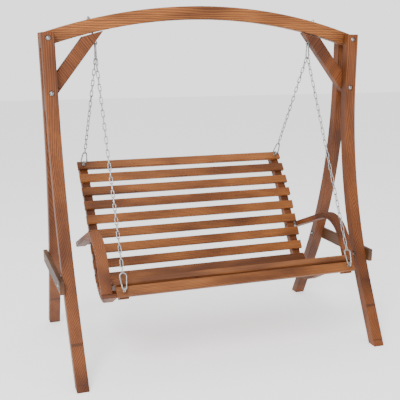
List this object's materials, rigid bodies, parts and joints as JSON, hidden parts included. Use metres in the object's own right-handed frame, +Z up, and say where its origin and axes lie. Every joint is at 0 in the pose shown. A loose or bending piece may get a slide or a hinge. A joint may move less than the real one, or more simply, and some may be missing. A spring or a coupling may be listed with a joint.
{
  "type": "porch swing seat",
  "caption": "Slatted wooden bench swing hung on chains and snap hooks from an arched beam on splayed legs.",
  "frame": {"origin": "middle of the whole footprint, on the ground", "axes": "+X along the bench to the sitter's left, -Y to the front, +Z up"},
  "size_m": [1.662, 1.0228, 1.6968],
  "materials": {
    "frame_wood": "stained, satin",
    "slat_wood": "stained, satin",
    "weathered_wood": "stained, matt",
    "chain_zinc": "zinc plated",
    "fastener_zinc": "zinc plated"
  },
  "bodies": {
    "stand": {"top_beam": "frame_wood", "left_front_leg": "frame_wood", "left_rear_leg": "frame_wood", "left_knee_brace": "frame_wood", "left_crossbar": "weathered_wood", "right_front_leg": "frame_wood", "right_rear_leg": "frame_wood", "right_knee_brace": "frame_wood", "right_crossbar": "weathered_wood", "frame_bolts": "fastener_zinc", "frame_washers": "fastener_zinc", "frame_nuts": "fastener_zinc", "crossbar_bolts": "fastener_zinc", "crossbar_washers": "fastener_zinc", "crossbar_nuts": "fastener_zinc", "top_eye_bolts": "fastener_zinc", "top_eye_nuts": "fastener_zinc"},
    "swing": {"left_seat_rail": "frame_wood", "right_seat_rail": "frame_wood", "slat_01": "slat_wood", "slat_02": "slat_wood", "slat_03": "slat_wood", "slat_04": "slat_wood", "slat_05": "slat_wood", "slat_06": "slat_wood", "slat_07": "slat_wood", "slat_08": "slat_wood", "slat_09": "slat_wood", "slat_10": "slat_wood", "slat_11": "slat_wood", "slat_12": "slat_wood", "slat_13": "slat_wood", "slat_14": "slat_wood", "slat_15": "slat_wood", "slat_16": "slat_wood", "slat_17": "slat_wood", "slat_screws": "fastener_zinc", "left_arm": "frame_wood", "right_arm": "frame_wood", "arm_stretcher": "frame_wood", "arm_foot_screws": "fastener_zinc", "arm_bolts": "fastener_zinc", "arm_spacers": "fastener_zinc", "bench_eye_bolts": "fastener_zinc", "bench_nuts": "fastener_zinc", "snap_hooks": "fastener_zinc", "hook_pins": "fastener_zinc", "left_rear_chain": "chain_zinc", "left_front_chain": "chain_zinc", "right_rear_chain": "chain_zinc", "right_front_chain": "chain_zinc"},
    "left_top_gate_body": {"left_top_gate": "fastener_zinc"},
    "left_rear_gate_body": {"left_rear_gate": "fastener_zinc"},
    "left_front_gate_body": {"left_front_gate": "fastener_zinc"},
    "right_top_gate_body": {"right_top_gate": "fastener_zinc"},
    "right_rear_gate_body": {"right_rear_gate": "fastener_zinc"},
    "right_front_gate_body": {"right_front_gate": "fastener_zinc"}
  },
  "joints": [
    {"name": "bench_swing", "type": "hinge", "parent": "stand", "child": "swing", "pos_m": [0, 0.00906, 1.51723], "axis": [1, 0, 0], "range_deg": [-20, 20]},
    {"name": "left_top_gate_turn", "type": "hinge", "parent": "swing", "child": "left_top_gate_body", "pos_m": [-0.553, 0.01915, 1.51052], "axis": [-1, 0, 0], "range_deg": [0, 22], "stiffness_Nm_per_rad": 0.05, "springref_deg": -20.05},
    {"name": "left_rear_gate_turn", "type": "hinge", "parent": "swing", "child": "left_rear_gate_body", "pos_m": [-0.557, 0.38278, 0.95661], "axis": [0, 0.8061, 0.5918], "range_deg": [0, 22], "stiffness_Nm_per_rad": 0.05, "springref_deg": -20.05},
    {"name": "left_front_gate_turn", "type": "hinge", "parent": "swing", "child": "left_front_gate_body", "pos_m": [-0.55819, -0.4931, 0.48598], "axis": [0, -0.8899, 0.4562], "range_deg": [0, 22], "stiffness_Nm_per_rad": 0.05, "springref_deg": -20.05},
    {"name": "right_top_gate_turn", "type": "hinge", "parent": "swing", "child": "right_top_gate_body", "pos_m": [0.553, 0.01915, 1.51052], "axis": [-1, 0, 0], "range_deg": [0, 22], "stiffness_Nm_per_rad": 0.05, "springref_deg": -20.05},
    {"name": "right_rear_gate_turn", "type": "hinge", "parent": "swing", "child": "right_rear_gate_body", "pos_m": [0.557, 0.38278, 0.95661], "axis": [0, -0.8061, -0.5918], "range_deg": [0, 22], "stiffness_Nm_per_rad": 0.05, "springref_deg": -20.05},
    {"name": "right_front_gate_turn", "type": "hinge", "parent": "swing", "child": "right_front_gate_body", "pos_m": [0.55819, -0.4931, 0.48598], "axis": [0, 0.8899, -0.4562], "range_deg": [0, 22], "stiffness_Nm_per_rad": 0.05, "springref_deg": -20.05}
  ]
}
